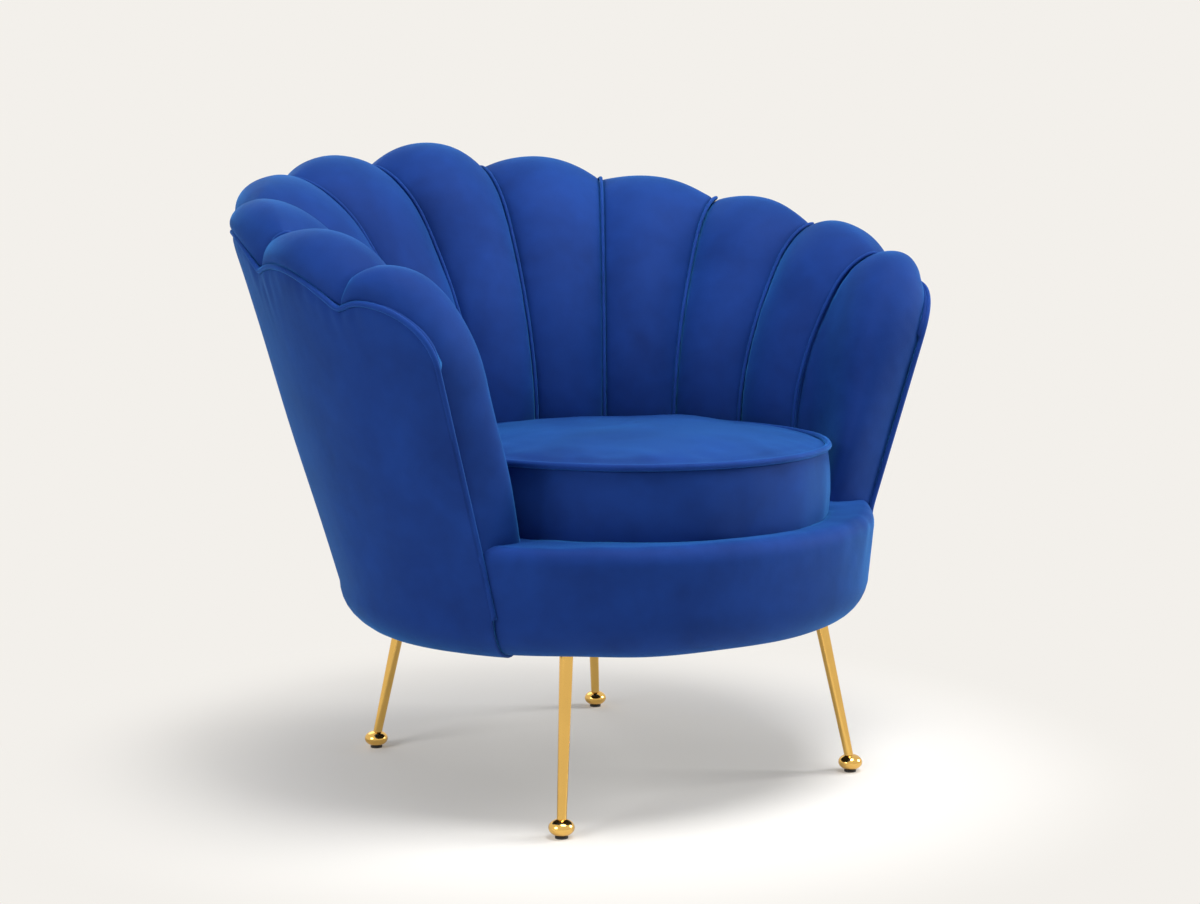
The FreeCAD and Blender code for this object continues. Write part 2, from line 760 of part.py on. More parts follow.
clear_board = elliptic_solid(lambda z: back_board_outline(z, -size("frame_clearance")),
                             ring_top - 1, tub_top)
rail_foot = size("seam_top_height") - size("top_rail_drop") - size("top_rail_thickness") / 2
over_rail_foot = above(rail_foot)
for number, seam in enumerate(SEAMS, start=1):
    rib = upright(seam, ring_top, tub_top - 10).common(frame_form).cut([clear_board, over_rail_foot])
    add_shape(f"back_rib_{number:02d}", rib)

back_board = elliptic_solid(back_board_outline, ring_top, tub_top)
back_board = back_board.cut(elliptic_solid(
    lambda z: back_board_outline(z, size("back_board_thickness")), ring_top - 1, tub_top + 1))
post_rear = arm_front + 42
back_board = back_board.cut([in_front(post_rear), above(rail_foot - size("frame_clearance"))])
add_shape("inner_back_board", back_board)

rail_half = size("top_rail_width") / 2
rail = plate(seam_top_outline(size("top_rail_inset") - rail_half), 0, TALL)
rail = rail.cut(plate(seam_top_outline(size("top_rail_inset") + rail_half), 0, TALL))
rail = rail.common(over_rail_foot).cut(above(rail_foot + size("top_rail_thickness")))
rail = rail.common(behind(arm_front + 60))
add_shape("top_rail", rail)

# Petals: cut back to the frame and the cords they are pulled down against
petals = {}
for petal in range(-4, 5):
    hard = [back_board, rail, rim_clear]
    if abs(petal) > 2:
        hard += [cord for seam, cord in zip(SEAMS, seam_cords) if abs(seam - petal) < 1]
    if abs(petal) == 4:
        hard.append(back_panel)
    petals[petal] = petal_solid(petal).cut(hard)
right_pad = arm_pad().cut([back_board, rail, rim_clear, back_panel, petals[4], seam_cords[-1]])
petals[5], petals[-5] = right_pad, mirrored(right_pad)
for petal in range(-5, 6):
    add_shape(f"channel_{petal + 6:02d}", petals[petal])


def arm_post():
    # tapered board standing on the seat ring inside the arm front
    front, rear = arm_front + 24, post_rear - 1
    top = ARM_BEND_Z - 10

    def skin_x(height):
        half_width, half_depth, middle = tub_outline(height, skin_clear)
        return half_width * math.sqrt(1 - ((front - middle) / half_depth) ** 2)

    def pad_x(height, share):
        inner, outer = seam_point(ARM_SEAM, share), arm_front_point(height)
        along = (front - inner.y) / (outer.y - inner.y)
        return mix(inner.x, outer.x, along) + 1

    wires = []
    for height, share in ((ring_top, -1), (seat_height, 0), (top, 0.62)):
        low, high = pad_x(height, share), skin_x(height)
        corners = [Vector(low, front, height), Vector(high, front, height),
                   Vector(high, rear, height), Vector(low, rear, height)]
        wires.append(Part.makePolygon(corners + corners[:1]))
    return Part.makeLoft(wires, True, True)


post = arm_post()
add_shape("arm_post_left", mirrored(post))
add_shape("arm_post_right", post)

strips = []
for n in (-2, -1, 0, 1, 2):
    x = n * size("webbing_pitch")
    reach = (cushion_radius - 2) * math.sqrt(1 - (abs(x) + size("webbing_width") / 2) ** 2
                                            / cushion_radius ** 2)
    strips.append(slab(x - size("webbing_width") / 2, x + size("webbing_width") / 2,
                       cushion_centre - reach, cushion_centre + reach,
                       ring_top, ring_top + size("webbing_thickness")))
add_shape("webbing_front_to_back", Part.makeCompound(strips))
strips = []
for n in (-2, -1, 0, 1, 2):
    y = n * size("webbing_pitch") * 0.9
    reach = (cushion_radius - 2) * math.sqrt(1 - (abs(y) + size("webbing_width") / 2) ** 2
                                            / cushion_radius ** 2)
    strips.append(slab(-reach, reach, cushion_centre + y - size("webbing_width") / 2,
                       cushion_centre + y + size("webbing_width") / 2,
                       ring_top + size("webbing_thickness"), deck_foot))
add_shape("webbing_side_to_side", Part.makeCompound(strips))

deck = doc.addObject("Part::Cylinder", "seat_deck_pad")
deck.Label = "seat_deck_pad"
deck.setExpression("Radius", "Sizes.cushion_diameter / 2 - 2")
deck.setExpression("Height", "Sizes.deck_thickness")
deck.Placement.Base = Vector(0, cushion_centre, deck_foot)
nodes.append(deck)

dust = plate(tub_outline(size("underside_height"), size("base_rounding") + 2),
             size("underside_height") - size("dust_cover_thickness"), size("dust_cover_thickness"))
add_shape("dust_cover", dust.cut(leg_holes))


# Cushion: boxed round cushion turned about its upright axis
def cushion_profile(inset):
    radius, sag = cushion_radius - inset, size("cushion_sag")
    low, high = cushion_foot + inset, seat_height - inset
    middle = (low + high) / 2
    crown = high + size("cushion_crown")
    edge_low = Vector(radius - 6, 0, low)
    edge_side = Vector(radius, 0, low + sag + 4)
    belly = Vector(radius + size("cushion_side_bulge"), 0, middle)
    top_edge = Vector(radius, 0, high)
    # the top is part of a ball whose middle lies on the axis
    ball = (radius ** 2 + size("cushion_crown") ** 2) / (2 * size("cushion_crown"))
    half_way = Vector(radius / 2, 0, crown - ball + math.sqrt(ball ** 2 - radius ** 2 / 4))
    edges = [Part.makeLine(Vector(0, 0, low), edge_low),
             Part.makeLine(edge_low, edge_side),
             Part.makeLine(edge_side, belly),
             Part.makeLine(belly, top_edge),
             Part.Arc(top_edge, half_way, Vector(0, 0, crown)).toShape(),
             Part.makeLine(Vector(0, 0, crown), Vector(0, 0, low))]
    turned = Part.Face(Part.Wire(edges)).revolve(Vector(0, 0, 0), Vector(0, 0, 1), 360)
    turned.translate(Vector(0, cushion_centre, 0))
    return turned


cover_wall = size("cushion_cover_thickness")


def cushion_cords(grow):
    cords = []
    for height in (seat_height, cushion_foot + size("cushion_piping_diameter") / 2):
        cords.append(Part.makeTorus(cushion_radius + 1, size("cushion_piping_diameter") / 2 + grow,
                                    Vector(0, cushion_centre, height), Vector(0, 0, 1)))
    return cords


top_cord, bottom_cord = cushion_cords(0)
hollow = cushion_profile(cover_wall).cut(cushion_cords(cover_wall))
add_shape("cushion_cover", cushion_profile(0).cut([top_cord, bottom_cord]).cut(hollow))
foam_inset = cover_wall + size("soft_clearance")
add_shape("cushion_foam", cushion_profile(foam_inset).cut(cushion_cords(foam_inset)))
add_shape("cushion_top_piping", top_cord)
add_shape("cushion_bottom_piping", bottom_cord)


# Legs
studs = []
for name, foot, head in LEGS:
    floor_point = Vector(foot.x, foot.y, 0)
    ball_top = size("ball_height") / 2
    leg_foot = floor_point + Vector(0, 0, size("glide_height") + ball_top)
    length = (head - leg_foot).Length
    axis = (head - leg_foot).normalize()
    leg = Part.makeCone(size("leg_foot_diameter") / 2, size("leg_top_diameter") / 2, length,
                        leg_foot, axis)
    bore = Part.makeCylinder(size("stud_diameter") / 2 + size("stud_fit"), size("stud_depth"),
                             head - axis * size("stud_depth"), axis)
    ball = Part.makeSphere(size("ball_diameter") / 2)
    squash = FreeCAD.Matrix()
    squash.A33 = size("ball_height") / size("ball_diameter")
    ball = ball.transformGeometry(squash)
    ball.translate(leg_foot)
    underside = size("glide_height")
    ball = ball.cut(slab(-WIDE, WIDE, -WIDE, WIDE, -50, underside + 0.6))
    leg = leg.fuse(Part.makeCylinder(size("leg_foot_diameter") / 2 - 1, 4, leg_foot - axis * 4, axis))
    add_shape("leg_" + name, leg.cut(bore))
    add_shape("ball_foot_" + name, ball.cut(leg))
    glide = doc.addObject("Part::Cylinder", "glide_" + name)
    glide.Label = "glide_" + name
    glide.setExpression("Radius", "Sizes.glide_diameter / 2")
    glide.setExpression("Height", "Sizes.glide_height + 0.6")
    glide.Placement.Base = floor_point
    nodes.append(glide)

    middle = plate_middle(head)
    half = size("leg_plate_size") / 2
    flat = slab(middle.x - half, middle.x + half, middle.y - half, middle.y + half,
                middle.z, board_underside)
    boss = Part.makeCylinder(size("leg_top_diameter") / 2, 30, head, axis)
    boss = boss.cut(slab(-WIDE, WIDE, -WIDE, WIDE, board_underside, TALL))
    stud_hole = Part.makeCylinder(size("stud_diameter") / 2 + size("stud_fit"), 40, head, axis)
    add_shape("leg_plate_" + name, flat.fuse(boss).cut([stud_hole] + screw_holes))
    stud = Part.makeCylinder(size("stud_diameter") / 2, size("stud_depth") + 30,
                             head - axis * size("stud_depth"), axis)
    studs.append(stud.cut(slab(-WIDE, WIDE, -WIDE, WIDE, board_underside, TALL)))
add_shape("leg_studs", Part.makeCompound(studs))

doc.recompute()
broken = [o.Name for o in doc.Objects if "Invalid" in o.State or "Error" in o.State]
for piece in nodes:
    if piece.Shape.isNull() or not piece.Shape.isValid() or not piece.Shape.Solids:
        broken.append(piece.Label)
if broken:
    raise RuntimeError("failed: " + ", ".join(broken))
for piece in nodes:
    piece.Shape.exportStep(f"parts/{piece.Label}.step")
print(len(nodes), "nodes written")
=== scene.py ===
import bpy
import bmesh
import json
import math
import numpy as np
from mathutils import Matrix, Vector


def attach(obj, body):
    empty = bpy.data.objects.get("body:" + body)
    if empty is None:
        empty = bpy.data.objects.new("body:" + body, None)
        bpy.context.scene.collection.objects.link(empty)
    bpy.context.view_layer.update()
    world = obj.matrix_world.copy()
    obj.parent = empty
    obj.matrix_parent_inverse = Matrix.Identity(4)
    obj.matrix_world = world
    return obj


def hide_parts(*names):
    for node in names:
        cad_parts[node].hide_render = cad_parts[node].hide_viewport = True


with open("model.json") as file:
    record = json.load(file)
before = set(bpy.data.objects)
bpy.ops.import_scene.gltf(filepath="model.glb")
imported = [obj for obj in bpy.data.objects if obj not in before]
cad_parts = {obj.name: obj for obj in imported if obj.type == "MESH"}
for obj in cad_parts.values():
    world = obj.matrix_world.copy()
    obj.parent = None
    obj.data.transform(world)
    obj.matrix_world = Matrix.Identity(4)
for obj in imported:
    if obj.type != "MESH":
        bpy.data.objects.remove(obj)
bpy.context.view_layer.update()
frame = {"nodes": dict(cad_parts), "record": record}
print("frame loaded")

# Camera
view = {"lens": 64.96, "sensor": 36, "place": (-1.6405, -2.1652, 0.7341), "down": 7.17, "round": 37.86}
cameraData = bpy.data.cameras.new("camera")
cameraData.sensor_width = view["sensor"]
cameraData.lens = view["lens"]
camera = bpy.data.objects.new("camera", cameraData)
camera.location = view["place"]
camera.rotation_euler = (math.radians(90 - view["down"]), 0, math.radians(-view["round"]))
bpy.context.scene.collection.objects.link(camera)
bpy.context.scene.camera = camera
bpy.context.scene.view_settings.view_transform = "Standard"


# Shader helpers
def addNode(tree, kind, inputs, **settings):
    # a node with its settings, and each input linked or given a plain value
    node = tree.nodes.new("ShaderNode" + kind)
    for name, value in settings.items():
        setattr(node, name, value)
    for name, value in inputs.items():
        if isinstance(value, bpy.types.NodeSocket):
            tree.links.new(value, node.inputs[name])
        else:
            node.inputs[name].default_value = value
    return node


def objectPlace(tree):
    return addNode(tree, "TexCoord", {}).outputs["Object"]


def noise(tree, place, scale, detail, distortion=0):
    inputs = {"Vector": place, "Scale": scale, "Detail": detail, "Distortion": distortion}
    return addNode(tree, "TexNoise", inputs).outputs["Fac"]


def shade(tree, given, value, start, stop):
    # from the group's dark colour to its light one as the value goes from start to stop
    share = addNode(tree, "MapRange", {"Value": value, "From Min": start, "From Max": stop})
    colours = {"Factor": share.outputs["Result"], "A": given["Dark"], "B": given["Light"]}
    return addNode(tree, "Mix", colours, data_type="RGBA").outputs["Result"]


def newGroup(name, inputs, outputs):
    group = bpy.data.node_groups.new(name, "ShaderNodeTree")
    for way, sockets in (("INPUT", inputs), ("OUTPUT", outputs)):
        for label, kind in sockets.items():
            group.interface.new_socket(name=label, in_out=way, socket_type="NodeSocket" + kind)
    return group, group.nodes.new("NodeGroupInput").outputs


def giveOut(group, values):
    outlet = group.nodes.new("NodeGroupOutput")
    for label, value in values.items():
        group.links.new(value, outlet.inputs[label])


# Shader groups: what they put out goes to the shader inputs of the same names
def pileGroup():
    # velvet pile: lighter where it is brushed, with the relief of fibres and brush marks
    group, given = newGroup("velvetPile", {"Dark": "Color", "Light": "Color"},
                            {"Base Color": "Color", "Normal": "Vector", "Roughness": "Float"})
    place = objectPlace(group)
    brushed = noise(group, place, 9, 3, 0.6)
    marks = noise(group, place, 42, 5)
    fibres = noise(group, place, 1500, 2)
    sway = addNode(group, "Math", {0: marks, 1: 0.45, 2: brushed}, operation="MULTIPLY_ADD")
    rough = addNode(group, "MapRange", {"Value": fibres, "To Min": 0.62, "To Max": 0.82})
    coarse = addNode(group, "Bump", {"Strength": 0.25, "Distance": 0.002, "Height": marks})
    fine = addNode(group, "Bump", {"Strength": 0.35, "Distance": 0.0004, "Height": fibres,
                                   "Normal": coarse.outputs["Normal"]})
    giveOut(group, {"Base Color": shade(group, given, sway.outputs["Value"], 0.45, 1.0),
                    "Normal": fine.outputs["Normal"], "Roughness": rough.outputs["Result"]})
    return group


def smearGroup():
    # metal with faint smears in its colour and polish
    group, given = newGroup("metalSmear", {"Dark": "Color", "Light": "Color", "Scale": "Float",
                                           "Polished": "Float", "Dulled": "Float"},
                            {"Base Color": "Color", "Roughness": "Float"})
    smear = noise(group, objectPlace(group), given["Scale"], 4)
    rough = addNode(group, "MapRange", {"Value": smear, "To Min": given["Polished"],
                                        "To Max": given["Dulled"]})
    giveOut(group, {"Base Color": shade(group, given, smear, 0.3, 0.7),
                    "Roughness": rough.outputs["Result"]})
    return group


def grainGroup():
    # grain of wood, foam and plastic, squeezed most along the axis with the highest value
    group, given = newGroup("stuffGrain", {"Dark": "Color", "Light": "Color", "Scale": "Float",
                                           "Squeeze": "Vector", "Relief": "Float"},
                            {"Base Color": "Color", "Normal": "Vector"})
    mapping = addNode(group, "Mapping", {"Vector": objectPlace(group), "Scale": given["Squeeze"]})
    grain = noise(group, mapping.outputs["Vector"], given["Scale"], 6)
    relief = addNode(group, "Bump", {"Strength": given["Relief"], "Distance": 0.0006, "Height": grain})
    giveOut(group, {"Base Color": shade(group, given, grain, 0.35, 0.68),
                    "Normal": relief.outputs["Normal"]})
    return group


def weaveGroup():
    # crossed yarns, one wave each way
    group, given = newGroup("yarnWeave", {"Dark": "Color", "Light": "Color", "Scale": "Float"},
                            {"Base Color": "Color", "Normal": "Vector"})
    place = objectPlace(group)
    yarns = [addNode(group, "TexWave", {"Vector": place, "Scale": given["Scale"], "Distortion": 0.4},
                     bands_direction=direction).outputs["Fac"] for direction in ("X", "Y")]
    cross = addNode(group, "Math", {0: yarns[0], 1: yarns[1]}, operation="MULTIPLY").outputs["Value"]
    relief = addNode(group, "Bump", {"Strength": 0.5, "Distance": 0.0005, "Height": cross})
    giveOut(group, {"Base Color": shade(group, given, cross, 0.0, 0.8),
                    "Normal": relief.outputs["Normal"]})
    return group


def newMaterial(name, group, values, surface):
    material = bpy.data.materials.new(name)
    material.use_nodes = True
    tree = material.node_tree
    shader = tree.nodes["Principled BSDF"]
    look = addNode(tree, "Group", values, node_tree=group)
    for output in look.outputs:
        tree.links.new(output, shader.inputs[output.name])
    for label, value in surface.items():
        shader.inputs[label].default_value = value
    return material


velvetPile = pileGroup()
metalSmear = smearGroup()
stuffGrain = grainGroup()
yarnWeave = weaveGroup()
yarnWave = 0.314  # metres between two yarns at a scale of 1


def velvet(name, dark, light, sheen):
    return newMaterial(name, velvetPile, {"Dark": dark, "Light": light},
                       {"Specular IOR Level": 0.10, "Sheen Weight": sheen, "Sheen Roughness": 0.38,
                        "Sheen Tint": (0.06, 0.40, 0.95, 1)})


def metal(name, dark, light, scale, roughness):
    return newMaterial(name, metalSmear, {"Dark": dark, "Light": light, "Scale": scale,
                                          "Polished": 0.7 * roughness, "Dulled": 1.3 * roughness},
                       {"Metallic": 1})


def grained(name, dark, light, scale, squeeze, relief, roughness):
    return newMaterial(name, stuffGrain, {"Dark": dark, "Light": light, "Scale": scale,
                                          "Squeeze": squeeze, "Relief": relief},
                       {"Roughness": roughness})


def woven(name, dark, light, pitch, roughness):
    return newMaterial(name, yarnWeave, {"Dark": dark, "Light": light, "Scale": yarnWave / pitch},
                       {"Roughness": roughness})


velvetCover = velvet("velvetCover", (0.0036, 0.022, 0.135, 1), (0.0062, 0.036, 0.205, 1), 0.42)
velvetCord = velvet("velvetCord", (0.0042, 0.025, 0.155, 1), (0.0075, 0.042, 0.235, 1), 0.5)
slotMaterials = {
    "gold_metal": metal("goldMetal", (0.752, 0.4606, 0.1222, 1), (0.80, 0.49, 0.13, 1), 30, 0.13),
    "plate_steel": metal("plateSteel", (0.5264, 0.5358, 0.5452, 1), (0.56, 0.57, 0.58, 1), 120, 0.34),
    "frame_wood": grained("frameWood", (0.40, 0.26, 0.13, 1), (0.62, 0.45, 0.26, 1), 14,
                          (1, 1, 9), 0.3, 0.6),
    "webbing": woven("juteWebbing", (0.30, 0.23, 0.13, 1), (0.55, 0.45, 0.29, 1), 0.003, 0.9),
    "deck_felt": woven("deckCloth", (0.010, 0.020, 0.07, 1), (0.02, 0.05, 0.15, 1), 0.0015, 0.9),
    "dust_cloth": woven("dustCloth", (0.010, 0.010, 0.012, 1), (0.035, 0.035, 0.04, 1), 0.0012, 0.95),
    "foam": grained("foam", (0.72, 0.66, 0.46, 1), (0.82, 0.77, 0.58, 1), 400, (1, 1, 1), 0.6, 0.95),
    "glide_plastic": grained("glidePlastic", (0.012, 0.012, 0.012, 1), (0.03, 0.03, 0.03, 1), 300,
                             (1, 1, 1), 0.2, 0.55),
    "velvet": velvetCover,
    "piping": velvetCord,
}
for part in frame["record"]["subparts"]:
    mesh = frame["nodes"][part["node"]].data
    mesh.materials.clear()
    mesh.materials.append(slotMaterials[part["material_slot"]])
print("materials")


# Mesh helpers, lengths in millimetres until the mesh is made
def addPiece(name, points, faces, material, body):
    mesh = bpy.data.meshes.new(name)
    mesh.from_pydata([tuple(p) for p in np.asarray(points) / 1000], [], faces)
    mesh.materials.append(material)
    mesh.shade_smooth()
    piece = bpy.data.objects.new(name, mesh)
    bpy.context.scene.collection.objects.link(piece)
    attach(piece, body)
    return piece


def outwardFaces(points, faces):
    # turns every face outward on a closed form
    shape = bmesh.new()
    verts = [shape.verts.new(tuple(p)) for p in points]
    for face in faces:
        shape.faces.new([verts[i] for i in face])
    bmesh.ops.recalc_face_normals(shape, faces=shape.faces)
    shape.verts.index_update()
    turned = [[v.index for v in face.verts] for face in shape.faces]
    shape.free()
    return turned


def gridFaces(rows, cols, closed=False):
    faces = []
    for r in range(rows - 1):
        for c in range(cols if closed else cols - 1):
            d = (c + 1) % cols
            faces.append((r * cols + c, r * cols + d, (r + 1) * cols + d, (r + 1) * cols + c))
    return faces


def ringFaces(rows, cols):
    # closed rings with both ends capped
    caps = [tuple(range(cols))[::-1], tuple((rows - 1) * cols + c for c in range(cols))]
    return gridFaces(rows, cols, True) + caps


def soften(piece):
    smoother = piece.modifiers.new("smooth", "SUBSURF")
    smoother.levels = smoother.render_levels = 1


def between(low, high, share):
    return low + (high - low) * share


def eased(value):
    value = np.clip(value, 0, 1)
    return value * value * (3 - 2 * value)


def unit(v):
    return v / np.maximum(np.linalg.norm(v, axis=-1, keepdims=True), 1e-9)


def unevenness(points, length, seed):
    # smooth field of about -1 to 1, the same every run
    source = np.random.default_rng(seed)
    total = np.zeros(points.shape[:-1])
    for _ in range(9):
        direction = unit(source.normal(size=3))
        period = length * source.uniform(0.75, 1.4)
        total += np.sin(points @ direction * 2 * math.pi / period + source.uniform(0, 6.28))
    return total / 3


def smoothed(values, passes):
    for _ in range(passes):
        inner = (values[:-2] + 2 * values[1:-1] + values[2:]) / 4
        values = np.concatenate([values[:1], inner, values[-1:]])
    return values


def catmull(values, at):
    # smooth curve through the values, read at fractions of their numbers
    values = np.asarray(values, float)
    values = values.reshape(len(values), -1)
    padded = np.concatenate([2 * values[:1] - values[1:2], values, 2 * values[-1:] - values[-2:-1]])
    out = []
    for t in at:
        i = min(int(t), len(values) - 2)
        f = t - i
        a, b, c, d = padded[i:i + 4]
        out.append(0.5 * (2 * b + (c - a) * f + (2 * a - 5 * b + 4 * c - d) * f ** 2
                          + (3 * b - a - 3 * c + d) * f ** 3))
    return np.array(out)


def cordRings(path, radius, sides=12):
    # round cord along a path, its start direction carried from point to point
    tangent = unit(np.gradient(path, axis=0))
    across = np.cross(tangent[0], [0.3, 0.5, 0.81])
    angles = np.linspace(0, 2 * math.pi, sides, endpoint=False)
    rings = []
    for point, along in zip(path, tangent):
        across = unit(across - along * across.dot(along))
        other = np.cross(along, across)
        rings.append(point + radius * (np.outer(np.cos(angles), across) + np.outer(np.sin(angles), other)))
    return np.array(rings)


def addCords(name, paths, radius):
    points, faces = [], []
    for path in paths:
        rings = cordRings(path, radius)
        start = len(points)
        points.extend(rings.reshape(-1, 3))
        faces += [tuple(i + start for i in face) for face in ringFaces(*rings.shape[:2])]
    return addPiece(name, points, outwardFaces(points, faces), velvetCord, "chair_frame")


# Outlines of the chair, as the frame has them; angles in degrees from the rear
tub = {"lowZ": 253, "highZ": 647, "width": (336, 430), "depth": (312, 373), "middle": (-73.5, -15.5),
       "underside": 201, "edge": 52}
well = {"width": 280, "depth": 260, "middle": -109.5, "seatZ": 415.3, "floorZ": 303}
rim = {"width": 410, "depth": 353, "middle": -15.5, "height": 671, "slope": math.tan(math.radians(13.2)),
       "valley": 42, "scallop": 23}
petalTurn = {"foot": 20, "top": 25, "rim": 23.5}
seamRise = {"bend": 0.8, "outAtBend": 0.5, "lean": 1.8, "carry": 0.226}
cushionMiddle = -114.5

# The arm fronts stand squarer and further out than the ellipse, most of all at the top
armShift = {"fromAngle": 72, "atAngle": 124, "toAngle": 152, "low": (4, 11), "high": (40, -37),
            "lowZ": 319, "highZ": 640}
armRim = {"seam": 4.5, "peakTurn": 5, "peakRise": 9, "drop": 65, "frontY": -224.5}


def tubOutline(z):
    share = (np.asarray(z, float) - tub["lowZ"]) / (tub["highZ"] - tub["lowZ"])
    return [between(low, high, share) for low, high in (tub["width"], tub["depth"], tub["middle"])]


def onTub(angle, z, inset=0):
    # point on the outside of the tub, or inset from it
    wide, deep, middle = tubOutline(z)
    angle, z = np.asarray(angle, float), np.asarray(z, float)
    around = 180 - np.abs((angle % 360) - 180)
    weight = eased((around - armShift["fromAngle"]) / (armShift["atAngle"] - armShift["fromAngle"]))
    weight = weight * eased((armShift["toAngle"] - around) / (armShift["toAngle"] - armShift["atAngle"]))
    rise = np.clip((z - armShift["lowZ"]) / (armShift["highZ"] - armShift["lowZ"]), 0, 1)
    shiftX, shiftY = (between(low, high, rise) for low, high in zip(armShift["low"], armShift["high"]))
    x = (wide - inset) * np.sin(np.radians(angle))
    y = middle + (deep - inset) * np.cos(np.radians(angle))
    place = [x + np.sign(x) * shiftX * weight, y + shiftY * weight, z]
    return np.stack(np.broadcast_arrays(*place), -1)


def seamEnds(seam):
    foot, top = math.radians(petalTurn["foot"] * seam), math.radians(petalTurn["top"] * seam)
    low = np.array([well["width"] * math.sin(foot), well["middle"] + well["depth"] * math.cos(foot),
                    well["seatZ"]])
    y = rim["middle"] + rim["depth"] * math.cos(top)
    return low, np.array([rim["width"] * math.sin(top), y, rim["height"] + rim["slope"] * y])


def seamPoint(seam, share):
    # a seam runs from the well's floor (-1) past the seat (0) to its top (1)
    low, top = seamEnds(seam)
    if share < 0:
        return np.array([low[0], low[1], between(well["seatZ"], well["floorZ"], -share)])
    bend, outAtBend, carry = seamRise["bend"], seamRise["outAtBend"], seamRise["carry"]
    if share < bend:
        out, up = outAtBend * (share / bend) ** seamRise["lean"], share
    else:
        turn = math.radians(90 * (share - bend) / (1 - bend))
        out = outAtBend + carry * math.sin(turn) + (1 - outAtBend - carry) * (1 - math.cos(turn))
        up = between(bend, 1, math.sin(turn))
    return between(low, top, np.array([out, out, up]))


def valleyZ(seam):
    return seamEnds(seam)[1][2] - rim["valley"]


def rollPoint(seam, turn):
    # a seam rolls over the rim from its top (0) to the rim piping (90)
    top = seamEnds(seam)[1]
    end = onTub(petalTurn["rim"] * seam, valleyZ(seam))
    out, up = math.sin(math.radians(turn)), 1 - math.cos(math.radians(turn))
    return between(top, end, np.array([out, out, up]))


armSeam = armRim["seam"]
armSeamAngle = petalTurn["rim"] * armSeam
armPeakAngle = armSeamAngle + armRim["peakTurn"]
armPeakZ = valleyZ(armSeam) + armRim["peakRise"]
armBendZ = armPeakZ - armRim["drop"]
_, bendDepth, bendMiddle = tubOutline(armBendZ)
armBendAngle = math.degrees(math.acos((armRim["frontY"] - bendMiddle) / bendDepth))


def pipingZ(angle):
    # height of the rim piping
    angle = abs(angle)
    if angle < armSeamAngle:
        petal = round(angle / petalTurn["rim"])
        across = angle / petalTurn["rim"] - petal
        chord = between(valleyZ(petal - 0.5), valleyZ(petal + 0.5), across + 0.5)
        return chord + rim["scallop"] * (1 - 4 * across * across)
    if angle < armPeakAngle:
        share = (angle - armSeamAngle) / armRim["peakTurn"]
        return valleyZ(armSeam) + armRim["peakRise"] * math.sin(share * math.pi / 2)
    turn = min(1, (angle - armPeakAngle) / (armBendAngle - armPeakAngle))
    return between(armBendZ, armPeakZ, math.sqrt(max(0, 1 - turn * turn)))


def armCorner(turn):
    # angle and height of the rim piping where it turns from the peak (0) into the drop (90)
    turn = math.radians(turn)
    return (between(armPeakAngle, armBendAngle, math.sin(turn)),
            between(armBendZ, armPeakZ, math.cos(turn)))


# Petals; their rows count 0 at the seat, 1 at the seam tops and 2 at the rim piping
petalLook = {"columns": 33, "inner": 46, "roll": 20, "depth": 26, "armDepth": 6, "sideInset": 6,
             "abovePiping": 2.8, "behindPiping": 1.5,
             "seatBulge": 16, "rimBulge": (38, 26, 19, 21, 24), "endBulge": 3}
stuffing = {"groove": 3, "grooveWidth": 4, "gather": 0.825, "gatherLength": 21, "gatherReach": 11,
            "flatBeside": 3, "slack": 0.55, "slackLength": 95, "slackFrom": 14}
armLook = {"rows": 78, "roundness": 0.82, "beforePiping": 2.6, "tuck": 12}
acrossShare = 0.5 - 0.5 * np.cos(np.linspace(0, math.pi, petalLook["columns"]))


def petalBulge(petal, rows):
    seat, top, end = petalLook["seatBulge"], petalLook["rimBulge"][abs(petal)], petalLook["endBulge"]
    stations = [(-1, 0.6 * seat), (0, seat), (0.28, 1.12 * seat), (0.52, 1.3 * seat),
                (0.74, between(seat, top, 0.6)), (0.86, between(seat, top, 0.8)),
                (0.93, between(seat, top, 0.92)), (1, top),
                (1.42, between(end, top, 0.8)), (1.73, between(end, top, 0.45)), (2, end)]
    return smoothed(np.interp(rows, *zip(*stations)), 6)


def fromSeams(face):
    # distance of each point from the nearer edge of its row
    width = np.linalg.norm(face[:, -1] - face[:, 0], axis=1)[:, None]
    return np.minimum(acrossShare, 1 - acrossShare)[None, :] * width


def grooved(distance):
    return stuffing["groove"] * np.exp(-(distance / stuffing["grooveWidth"]) ** 2)


def gathered(face, normal, distance, seed):
    # short gathers beside the seams and slow unevenness of the stuffing
    pull = np.exp(-distance / stuffing["gatherReach"]) * (1 - np.exp(-distance / stuffing["flatBeside"]))
    gathers = stuffing["gather"] * unevenness(face, stuffing["gatherLength"], seed) * pull
    loose = 1 - np.exp(-distance / stuffing["slackFrom"])
    slack = stuffing["slack"] * unevenness(face, stuffing["slackLength"], seed + 40) * loose
    return face + normal * (gathers + slack)[..., None]


def closePadding(face, normal, depth):
    # adds a back, narrower and with fewer columns, to the grid of the padded face
    back = face[:, ::-1] - normal[:, ::-1] * depth
    inward = unit(face[:, -1] - face[:, 0])[:, None]
    inset = np.linspace(-petalLook["sideInset"], petalLook["sideInset"], face.shape[1])[None, :, None]
    back = (back + inward * inset)[:, 1:-1:4]
    return np.concatenate([face, back], axis=1)


